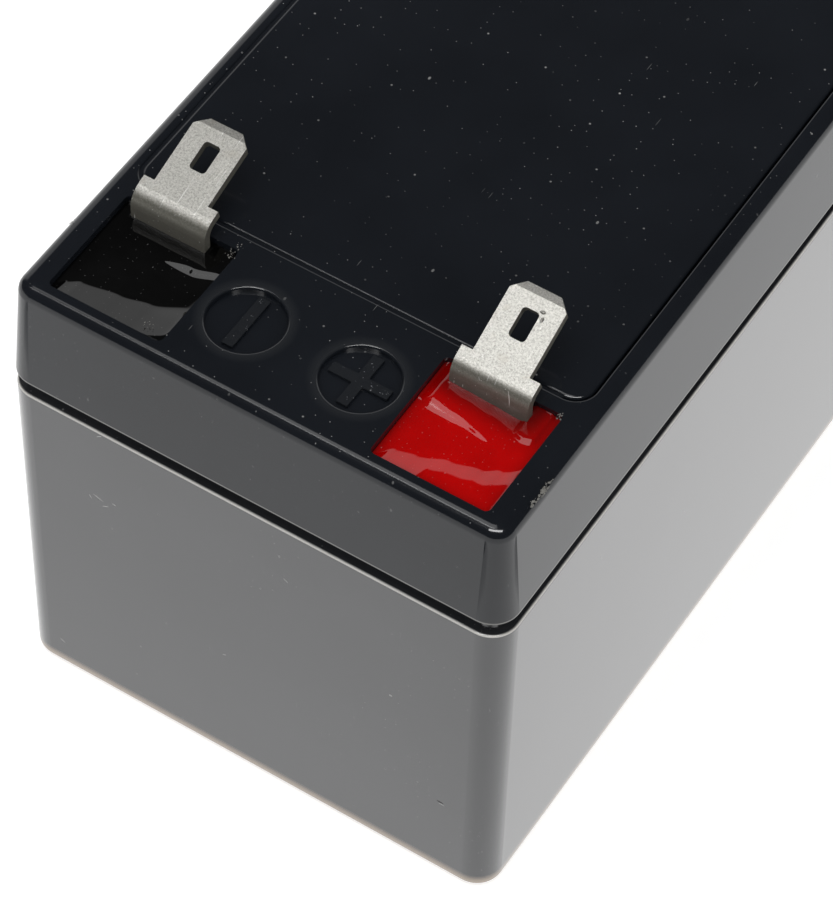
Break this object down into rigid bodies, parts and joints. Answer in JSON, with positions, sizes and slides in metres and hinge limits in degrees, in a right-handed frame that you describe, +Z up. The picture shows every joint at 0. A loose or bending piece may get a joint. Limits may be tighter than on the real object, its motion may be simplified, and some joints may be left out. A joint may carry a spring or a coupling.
{
  "type": "sealed lead acid battery",
  "caption": "Small sealed lead acid battery: black moulded container and glued lid with a vent cover, resin sealed wells and flat push-on tabs leaning back over the lid.",
  "frame": {"origin": "middle of the flat base", "axes": "+Z up, +Y from the terminal end towards the far end, +X from the negative side to the positive side"},
  "size_m": [0.048, 0.097, 0.0551],
  "materials": {
    "case_plastic": "glossy moulded black",
    "lid_plastic": "satin to glossy moulded black",
    "adhesive": "cured dark adhesive",
    "tinned_metal": "tinned sheet with fine scratches",
    "black_resin": "poured glossy black resin",
    "red_resin": "poured glossy red resin",
    "lead": "dull cast lead",
    "cap_rubber": "matt black rubber",
    "positive_paste": "dark brown plate paste",
    "negative_paste": "grey plate paste",
    "glass_mat": "white glass fibre mat"
  },
  "bodies": {
    "root": {"container": "case_plastic", "lid": "lid_plastic", "lid_adhesive": "adhesive", "cover_plate": "lid_plastic", "negative_tab": "tinned_metal", "positive_tab": "tinned_metal", "negative_resin_seal": "black_resin", "positive_resin_seal": "red_resin", "negative_post": "lead", "positive_post": "lead", "valve_cap_1": "cap_rubber", "valve_cap_2": "cap_rubber", "valve_cap_3": "cap_rubber", "valve_cap_4": "cap_rubber", "valve_cap_5": "cap_rubber", "valve_cap_6": "cap_rubber", "positive_plates_1": "positive_paste", "positive_plates_2": "positive_paste", "positive_plates_3": "positive_paste", "positive_plates_4": "positive_paste", "positive_plates_5": "positive_paste", "positive_plates_6": "positive_paste", "negative_plates_1": "negative_paste", "negative_plates_2": "negative_paste", "negative_plates_3": "negative_paste", "negative_plates_4": "negative_paste", "negative_plates_5": "negative_paste", "negative_plates_6": "negative_paste", "glass_mats_1": "glass_mat", "glass_mats_2": "glass_mat", "glass_mats_3": "glass_mat", "glass_mats_4": "glass_mat", "glass_mats_5": "glass_mat", "glass_mats_6": "glass_mat", "cell_weld_1": "lead", "cell_weld_2": "lead", "cell_weld_3": "lead", "cell_weld_4": "lead", "cell_weld_5": "lead"}
  },
  "joints": []
}
